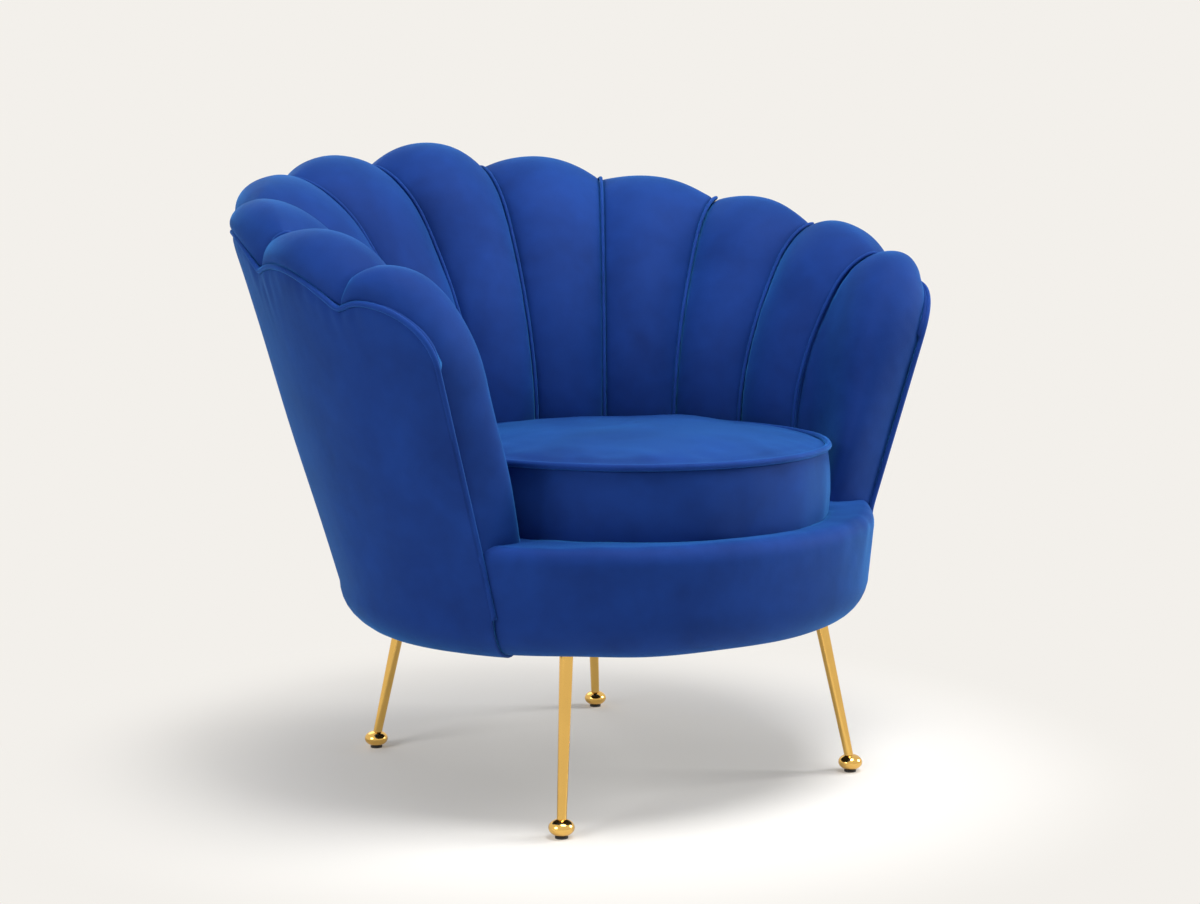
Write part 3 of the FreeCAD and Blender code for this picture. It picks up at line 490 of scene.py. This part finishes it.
def petalGrid(petal):
    shares = np.concatenate([np.linspace(-0.95, 0, 8)[:-1], np.linspace(0, 1, petalLook["inner"] - 6)])
    turns = np.linspace(0, 90, petalLook["roll"] + 1)[1:]
    rows = np.concatenate([shares, 1 + turns / 90])
    grid = [between(seamPoint(petal - 0.5, s), seamPoint(petal + 0.5, s), acrossShare[:, None])
            for s in shares]
    top = grid[-1]
    angles = petalTurn["rim"] * (petal + acrossShare - 0.5)
    end = np.array([onTub(a, pipingZ(a) + petalLook["abovePiping"], petalLook["behindPiping"])
                    for a in angles])
    for turn in np.radians(turns):
        grid.append(between(top, end, np.array([math.sin(turn), math.sin(turn), 1 - math.cos(turn)])))
    grid = np.array(grid)
    middle = smoothed(grid[:, petalLook["columns"] // 2], 3)
    normal = unit(np.cross(unit(np.gradient(middle, axis=0)), unit(grid[:, -1] - grid[:, 0])))
    if normal[10] @ np.array([-middle[10][0], -middle[10][1] + well["middle"], 0]) < 0:
        normal = -normal  # the padded face looks at the seat
    normal = np.repeat(normal[:, None], petalLook["columns"], axis=1)
    power = np.interp(rows, [-1, 0.5, 0.9, 2], [0.74, 0.78, 0.98, 0.98])[:, None]
    swell = petalBulge(petal, rows)[:, None] * (1 - (2 * acrossShare - 1) ** 2) ** power
    distance = fromSeams(grid)
    face = grid + normal * (swell - grooved(distance))[..., None]
    return gathered(face, normal, distance, 100 + petal), normal


def armGrid():
    # right arm front: a full pad from the last seam round to the piping on the arm front
    # each row: inner end, outer end, bulge, how far forward it is fullest, direction of the bulge
    waist = between(well["seatZ"], armBendZ, 0.6)
    rows = [(seamPoint(armSeam, -1), onTub(armBendAngle, well["floorZ"]), 62, 0.80, (-1, 0.15, 0)),
            (seamPoint(armSeam, 0), onTub(armBendAngle, well["seatZ"]), 60, 0.76, (-1, 0.05, 0)),
            (seamPoint(armSeam, 0.4), onTub(armBendAngle, waist), 57, 0.70, (-1, -0.1, 0)),
            (seamPoint(armSeam, 0.66), onTub(*armCorner(88)), 52, 0.64, (-0.9, -0.1, 0.35)),
            (seamPoint(armSeam, 0.86), onTub(*armCorner(52)), 41, 0.54, (-0.5, -0.3, 0.8)),
            (seamPoint(armSeam, 0.98), onTub(*armCorner(22)), 26, 0.52, (-0.1, -0.4, 1)),
            (rollPoint(armSeam, 40), onTub(*armCorner(4)), 16, 0.5, (0.4, -0.3, 1)),
            (rollPoint(armSeam, 84), onTub(*armCorner(0)) + (0, armLook["tuck"], 0), 4, 0.5,
             (1, -0.2, 0.6))]
    at = np.linspace(0.1, len(rows) - 1, armLook["rows"])
    inner, outer, bulge, forward, swell = (catmull(column, at) for column in zip(*rows))
    chord = unit(outer - inner)
    outer = outer - chord * armLook["beforePiping"]
    swell = unit(swell - chord * np.sum(swell * chord, axis=1, keepdims=True))
    base = between(inner[:, None], outer[:, None], acrossShare[None, :, None])
    warp = acrossShare[None, :] ** (math.log(0.5) / np.log(forward))
    height = (1 - (2 * warp - 1) ** 2) ** armLook["roundness"] * bulge
    face = base + swell[:, None] * height[..., None]
    normal = unit(np.cross(np.gradient(face, axis=1), np.gradient(face, axis=0)))
    if normal[30, 16] @ swell[30] < 0:
        normal = -normal
    distance = fromSeams(base)
    outward = np.repeat(swell[:, None], face.shape[1], axis=1)
    face = face - outward * grooved(distance)[..., None]
    return gathered(face, normal, distance, 171), outward


petalSurfaces = {petal: petalGrid(petal) for petal in range(-4, 5)}
rightArm, armOutward = armGrid()
mirror = np.array([-1, 1, 1])
petalSurfaces[5] = (rightArm, armOutward)
petalSurfaces[-5] = (rightArm[:, ::-1] * mirror, armOutward[:, ::-1] * mirror)
for petal, (face, normal) in petalSurfaces.items():
    rings = closePadding(face, normal, petalLook["armDepth"] if abs(petal) == 5 else petalLook["depth"])
    points = rings.reshape(-1, 3)
    faces = outwardFaces(points, ringFaces(*rings.shape[:2]))
    piece = addPiece(f"petal{petal + 6:02d}", points, faces, velvetCover, "chair_frame")
    soften(piece)
    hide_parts(f"channel_{petal + 6:02d}")
print("petals")

# Piping in the seams
seamCord = {"radius": 2.5, "standOff": 3.4, "sinkAtEnd": 4, "start": -0.9, "rollEnd": 40,
            "points": 130, "rollPoints": 12}


def seamPath(seam):
    shares = np.linspace(seamCord["start"], 1, seamCord["points"])
    turns = np.linspace(0, seamCord["rollEnd"], seamCord["rollPoints"])[1:]
    path = np.array([seamPoint(seam, s) for s in shares] + [rollPoint(seam, t) for t in turns])
    low, top = seamEnds(seam)
    out = unit(np.array([top[0] - low[0], top[1] - low[1], 0]))
    tangent = unit(np.gradient(path, axis=0))
    front = np.outer(tangent @ out, [0, 0, 1]) - np.outer(tangent[:, 2], out)
    height = np.full(len(path), seamCord["standOff"])
    height[len(shares):] = np.linspace(seamCord["standOff"], -seamCord["sinkAtEnd"], len(turns))
    return path + front * height[:, None]


seamPiping = addCords("seamPiping", [seamPath(n + 0.5) for n in range(-5, 5)], seamCord["radius"])
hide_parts("channel_piping")

# Rim piping: up one arm front, round the scallops and down the other
rimCord = {"radius": 3.3, "endZ": 250, "proud": 1.2, "dropPoints": 60, "cornerPoints": 24,
           "scallopPoints": 480, "smoothing": 5}


def rimPath():
    drop = [(armBendAngle, z) for z in np.linspace(rimCord["endZ"], armBendZ, rimCord["dropPoints"])[:-1]]
    corner = [armCorner(turn) for turn in np.linspace(90, 0, rimCord["cornerPoints"])]
    angles = np.linspace(armPeakAngle, -armPeakAngle, rimCord["scallopPoints"])[1:-1]
    scallops = [(angle, pipingZ(angle)) for angle in angles]
    other = [(-angle, z) for angle, z in reversed(drop + corner)]
    path = [onTub(angle, z, -rimCord["proud"]) for angle, z in drop + corner + scallops + other]
    return smoothed(np.array(path), rimCord["smoothing"])


rimPiping = addCords("rimPiping", [rimPath()], rimCord["radius"])
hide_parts("rim_piping")
print("piping")

# Outside cover and front apron
coverLook = {"rows": 58, "edgeRows": 10, "columns": 420, "thickness": 0.004, "belowPiping": 2.2, "hem": 10,
             "pucker": 1.5, "puckerLength": 17, "puckerReach": 22, "flatBelow": 3.5,
             "slack": 0.8, "slackLength": 130, "slackFrom": 60, "pulled": 3.6, "pullReach": 6}
apronLook = {"columns": 200, "rows": 14, "lipRows": 9, "top": 332, "lip": 20, "wellRadius": 236,
             "pucker": 1.1, "puckerLength": 34, "puckerReach": 26, "slack": 0.7, "slackLength": 150,
             "corners": ((190, 70, 1), (-230, 50, 0.5))}  # x, reach and strength of the extra puckers


def undersideRows(angle):
    # rounded lower edge and the turned-in hem
    rows = []
    for turn in np.radians(np.linspace(0, 90, coverLook["edgeRows"]))[1:]:
        point = onTub(angle, tub["lowZ"], tub["edge"] * (1 - math.cos(turn)))
        point[2] = tub["lowZ"] - tub["edge"] * math.sin(turn)
        rows.append(point)
    hem = onTub(angle, tub["lowZ"], tub["edge"] + coverLook["hem"])
    hem[2] = tub["underside"] + 1
    return rows + [hem]


def coverColumn(angle):
    top = pipingZ(angle) - coverLook["belowPiping"]
    heights = between(top, tub["lowZ"], np.linspace(0, 1, coverLook["rows"]) ** 1.5)
    return np.array([onTub(angle, top + 4, 5), *onTub(angle, heights), *undersideRows(angle)])


def coverSurface():
    angles = np.linspace(-armBendAngle, armBendAngle, coverLook["columns"])
    grid = np.array([coverColumn(a) for a in angles]).transpose(1, 0, 2)
    outward = unit(np.stack([grid[..., 0] / 1.3, grid[..., 1] + 60, 0 * grid[..., 2]], -1))
    below = np.linalg.norm(grid - grid[1:2], axis=2)
    fromValley = 1 - 2 * np.abs(((angles / petalTurn["rim"] + 0.5) % 1) - 0.5)
    nearValley = np.exp(-(fromValley / 0.5) ** 2)[None, :]
    pucker = unevenness(grid * (1, 1, 0.12), coverLook["puckerLength"], 7)
    pucker *= np.exp(-below / coverLook["puckerReach"]) * (1 - np.exp(-below / coverLook["flatBelow"]))
    slack = unevenness(grid * (1, 1, 0.5), coverLook["slackLength"], 9)
    slack *= 1 - np.exp(-below / coverLook["slackFrom"])
    lift = coverLook["pucker"] * pucker * (0.35 + 0.9 * nearValley) + coverLook["slack"] * slack
    lift -= coverLook["pulled"] * np.exp(-below / coverLook["pullReach"])
    return grid + outward * lift[..., None]


def apronColumn(angle):
    # from the seat well over the lip, down the front and under the lower edge
    top, lip = apronLook["top"], apronLook["lip"]
    edge = onTub(angle, top, lip)
    toMiddle = (0, cushionMiddle, 0) - edge * (1, 1, 0)
    gap = max(np.linalg.norm(toMiddle) - apronLook["wellRadius"], 2)
    step = unit(toMiddle)
    column = [edge + step * (gap + 3) - (0, 0, 12), edge + step * gap - (0, 0, 4.5)]
    column += [edge + step * gap * share for share in (0.85, 0.6, 0.3)]
    for turn in np.radians(np.linspace(0, 90, apronLook["lipRows"])):
        column.append(onTub(angle, top - lip + lip * math.cos(turn), lip * (1 - math.sin(turn))))
    heights = np.linspace(top - lip, tub["lowZ"], apronLook["rows"])[1:]
    return column + list(onTub(angle, heights)) + undersideRows(angle)


def apronSurface():
    angles = np.linspace(armBendAngle, 360 - armBendAngle, apronLook["columns"])
    grid = np.array([apronColumn(a) for a in angles]).transpose(1, 0, 2)
    normal = unit(np.cross(np.gradient(grid, axis=1), np.gradient(grid, axis=0)))
    if normal[18, 100] @ np.array([0, -1, 0]) < 0:
        normal = -normal
    fromLip = np.abs(grid[..., 2] - (apronLook["top"] - 8))
    corner = sum(strength * np.exp(-np.abs(grid[..., 0] - x) / reach)
                 for x, reach, strength in apronLook["corners"])
    pucker = unevenness(grid * (1, 1, 0.3), apronLook["puckerLength"], 21)
    pucker *= np.exp(-fromLip / apronLook["puckerReach"]) * (0.25 + corner)
    slack = unevenness(grid, apronLook["slackLength"], 22)
    return grid + normal * (apronLook["pucker"] * pucker + apronLook["slack"] * slack)[..., None]


def addCover(name, grid, node):
    points, faces = grid.reshape(-1, 3), gridFaces(*grid.shape[:2])
    piece = addPiece(name, points, faces, velvetCover, "chair_frame")
    shell = piece.modifiers.new("thickness", "SOLIDIFY")
    shell.thickness = coverLook["thickness"]
    shell.offset = -1
    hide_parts(node)


addCover("backCover", coverSurface()[:, ::-1], "outer_back_panel")
addCover("frontApron", apronSurface(), "front_apron")
print("covers")

# Seat cushion: turned form, swollen by a short cloth simulation, then creased
cushionLook = {"radius": 240, "low": 317.6, "high": 415.3, "crown": 21, "bow": 3.5, "cap": 7}
clothLook = {"pressure": 4, "stiffness": 12, "quality": 5, "steps": 20}
creaseLook = {"hollow": 1.3, "hollowLength": 120, "foldLength": 46, "foldInside": 34, "foldReach": 30,
              "crease": 1.6, "creaseInside": 16, "creaseWidth": 5, "side": 1.2, "sideLength": 60}
cushionCord = {"ring": 241, "radius": 4.1, "wander": 0.7, "topZ": 416.2, "bottomZ": 322}


def cushionRings():
    radius, low, high = cushionLook["radius"], cushionLook["low"], cushionLook["high"]
    profile = [(r, low) for r in np.linspace(0, radius - 7, 16)[1:]]
    profile += [(radius - 3, low + 1.5), (radius, low + 5)]
    for s in np.linspace(0, 1, 12)[1:]:
        profile.append((radius + cushionLook["bow"] * math.sin(math.pi * s), between(low + 5, high, s)))
    for s in np.linspace(1, 0, 30)[1:-1]:
        profile.append((radius * s, high + cushionLook["crown"] * (1 - s ** 2.6) ** 0.8))
    angles = np.linspace(0, 2 * math.pi, 120, endpoint=False)
    return np.array([[(r * math.cos(a), cushionMiddle + r * math.sin(a), z) for a in angles]
                     for r, z in profile])


def runCloth(piece, pinned):
    # swells the closed form a little, no point further than the cap
    copy = piece.copy()
    copy.data = piece.data.copy()
    bpy.context.scene.collection.objects.link(copy)
    group = copy.vertex_groups.new(name="pin")
    group.add([int(i) for i in pinned], 1.0, "REPLACE")
    cloth = copy.modifiers.new("cloth", "CLOTH")
    cloth.settings.vertex_group_mass = "pin"
    cloth.settings.use_pressure = True
    cloth.settings.uniform_pressure_force = clothLook["pressure"]
    cloth.settings.effector_weights.gravity = 0
    cloth.settings.quality = clothLook["quality"]
    cloth.settings.tension_stiffness = cloth.settings.compression_stiffness = clothLook["stiffness"]
    cloth.point_cache.frame_start, cloth.point_cache.frame_end = 1, clothLook["steps"]
    for step in range(clothLook["steps"]):
        bpy.context.scene.frame_set(step + 1)
    swollen = copy.evaluated_get(bpy.context.evaluated_depsgraph_get())
    after = np.array([v.co for v in swollen.to_mesh().vertices])
    swollen.to_mesh_clear()
    bpy.data.objects.remove(copy)
    bpy.context.scene.frame_set(1)
    before = np.array([v.co for v in piece.data.vertices])
    length = np.linalg.norm(after - before, axis=1, keepdims=True)
    held = np.minimum(1, cushionLook["cap"] / 1000 / np.maximum(length, 1e-9))
    for vertex, place in zip(piece.data.vertices, before + (after - before) * held):
        vertex.co = place


def cushionCreases(piece):
    # soft hollows on the top and a faint crease inside the top piping
    place = np.array([v.co for v in piece.data.vertices]) * 1000
    offset = place - (0, cushionMiddle, 0)
    reach = np.hypot(offset[:, 0], offset[:, 1])
    top = np.clip((place[:, 2] - cushionLook["high"] + 4) / 8, 0, 1)
    edge = cushionLook["radius"] - reach
    folds = unevenness(place * (1, 1, 0.2), creaseLook["foldLength"], 31)
    folds *= np.exp(-np.abs(edge - creaseLook["foldInside"]) / creaseLook["foldReach"])
    hollows = creaseLook["hollow"] * unevenness(place, creaseLook["hollowLength"], 32)
    nearCrease = (edge - creaseLook["creaseInside"]) / creaseLook["creaseWidth"]
    place[:, 2] += top * (hollows + folds - creaseLook["crease"] * np.exp(-nearCrease ** 2))
    push = creaseLook["side"] * unevenness(place * (1, 1, 0.35), creaseLook["sideLength"], 33) * (1 - top)
    push *= place[:, 2] > cushionLook["low"] + 8
    place[:, :2] += offset[:, :2] / np.maximum(reach, 1)[:, None] * push[:, None]
    for vertex, moved in zip(piece.data.vertices, place / 1000):
        vertex.co = moved


rings = cushionRings()
points = rings.reshape(-1, 3)
cushion = addPiece("seatCushion", points, outwardFaces(points, ringFaces(*rings.shape[:2])),
                   velvetCover, "seat_cushion")
held = np.abs(points[:, 2] - cushionLook["high"]) < 2
held |= points[:, 2] < cushionLook["low"] + 6
runCloth(cushion, np.flatnonzero(held))
cushionCreases(cushion)
soften(cushion)
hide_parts("cushion_cover", "cushion_foam")


def addCushionCord(name, z, node):
    # closed ring with a slight wander
    angles = np.linspace(0, 2 * math.pi, 180, endpoint=False)
    circle = np.stack([np.cos(angles), np.sin(angles), 0 * angles], -1)
    reach = cushionCord["ring"] + cushionCord["wander"] * unevenness(circle * 200, 90, 35)
    path = circle * reach[:, None] + (0, cushionMiddle, z)
    sides = np.linspace(0, 2 * math.pi, 14, endpoint=False)[None, :, None]
    around = np.cos(sides) * circle[:, None] + np.sin(sides) * (0, 0, 1)
    rings = path[:, None] + cushionCord["radius"] * around
    rows, cols = rings.shape[:2]
    faces = gridFaces(rows, cols, True)
    faces += [((rows - 1) * cols + c, (rows - 1) * cols + (c + 1) % cols, (c + 1) % cols, c)
              for c in range(cols)]
    points = rings.reshape(-1, 3)
    piece = addPiece(name, points, outwardFaces(points, faces), velvetCord, "seat_cushion")
    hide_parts(node)


addCushionCord("cushionTopPiping", cushionCord["topZ"], "cushion_top_piping")
addCushionCord("cushionBottomPiping", cushionCord["bottomZ"], "cushion_bottom_piping")
print("cushion")

# Deck cloth under the cushion and the dust cloth under the chair: each ring is a size and a height
deckLook = ((236, 307.2), (238, 309), (238, 314.5), (235, 316.4), (160, 316.9), (40, 317))
dustLook = {"width": 270, "depth": 251, "middle": -81, "z": 200.2,
            "sag": ((1, 0), (0.97, 0.4), (0.7, 1.6), (0.35, 2.4), (0.05, 2.6))}
angles = np.linspace(0, 2 * math.pi, 96, endpoint=False)
circle = np.stack([np.cos(angles), np.sin(angles), 0 * angles], -1)


def addDisc(name, rings, slotName):
    cols = len(circle)
    faces = gridFaces(len(rings), cols, True) + [tuple(range((len(rings) - 1) * cols, len(rings) * cols))]
    return addPiece(name, np.concatenate(rings), faces, slotMaterials[slotName], "chair_frame")


deckRings = [circle * radius + (0, cushionMiddle, z) for radius, z in deckLook]
deck = addDisc("deckCloth", deckRings, "deck_felt")
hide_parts("seat_deck_pad")
dustOutline = circle * (dustLook["width"], dustLook["depth"], 0)
dustRings = [dustOutline * size + (0, dustLook["middle"], dustLook["z"] - sag)
             for size, sag in dustLook["sag"]]
dust = addDisc("dustCloth", dustRings, "dust_cloth")
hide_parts("dust_cover")
print("cloths")

# Floor and surroundings; the camera and reflections see one pale tone away from the chair
stageLook = {"pale": (0.896, 0.871, 0.831, 1), "floor": (0.83, 0.815, 0.785, 1), "floorHalf": 9,
             "fadeFrom": 0.25, "fadeTo": 0.75, "least": 0.15, "air": (1, 0.99, 0.97, 1), "airLight": 0.24}


def anyRay(tree, *kinds):
    rays = addNode(tree, "LightPath", {}).outputs
    found = rays[kinds[0]]
    for kind in kinds[1:]:
        found = addNode(tree, "Math", {0: found, 1: rays[kind]}, operation="MAXIMUM").outputs["Value"]
    return found


def blendShaders(tree, share, first, second, output):
    blend = addNode(tree, "MixShader", {"Fac": share, 1: first, 2: second})
    tree.links.new(blend.outputs["Shader"], tree.nodes[output].inputs["Surface"])


def floorSurface():
    material = bpy.data.materials.new("floor")
    material.use_nodes = True
    tree = material.node_tree
    matt = tree.nodes["Principled BSDF"]
    matt.inputs["Base Color"].default_value = stageLook["floor"]
    matt.inputs["Roughness"].default_value = 0.9
    matt.inputs["Specular IOR Level"].default_value = 0.1
    glow = addNode(tree, "Emission", {"Color": stageLook["pale"]})
    distance = addNode(tree, "VectorMath", {0: objectPlace(tree)}, operation="LENGTH").outputs["Value"]
    fade = addNode(tree, "MapRange", {"Value": distance, "From Min": stageLook["fadeFrom"],
                                      "From Max": stageLook["fadeTo"], "To Min": stageLook["least"]},
                   interpolation_type="SMOOTHSTEP")
    seen = anyRay(tree, "Is Camera Ray", "Is Glossy Ray")
    share = addNode(tree, "Math", {0: fade.outputs["Result"], 1: seen}, operation="MULTIPLY")
    blendShaders(tree, share.outputs["Value"], matt.outputs["BSDF"], glow.outputs["Emission"],
                 "Material Output")
    return material


half = stageLook["floorHalf"]
floorMesh = bpy.data.meshes.new("floor")
floorMesh.from_pydata([(-half, -half, 0), (half, -half, 0), (half, half, 0), (-half, half, 0)], [],
                      [(0, 1, 2, 3)])
floorMesh.materials.append(floorSurface())
floor = bpy.data.objects.new("floor", floorMesh)
bpy.context.scene.collection.objects.link(floor)

world = bpy.data.worlds.new("world")
bpy.context.scene.world = world
world.use_nodes = True
air = world.node_tree.nodes["Background"]
air.inputs["Color"].default_value = stageLook["air"]
air.inputs["Strength"].default_value = stageLook["airLight"]
plain = addNode(world.node_tree, "Background", {"Color": stageLook["pale"]})
seen = anyRay(world.node_tree, "Is Camera Ray", "Is Glossy Ray", "Is Transmission Ray")
blendShaders(world.node_tree, seen, air.outputs["Background"], plain.outputs["Background"], "World Output")

# Lamps: place, width and power of each
lampTarget = Vector((0, 0, 0.4))
lamps = {"key": ((3.0, -1.7, 1.7), 1.5, 92), "fill": ((-3.1, -0.2, 1.7), 1.6, 52),
         "rear": ((0.4, 2.8, 2.2), 2.0, 14), "overhead": ((0.1, -0.9, 3.1), 1.6, 92)}
for name, (place, width, power) in lamps.items():
    lampData = bpy.data.lights.new(name, "AREA")
    lampData.shape = "DISK"
    lampData.size = width
    lampData.energy = power
    lamp = bpy.data.objects.new(name, lampData)
    lamp.location = place
    lamp.rotation_euler = (lampTarget - Vector(place)).to_track_quat("-Z", "Y").to_euler()
    bpy.context.scene.collection.objects.link(lamp)
print("stage")
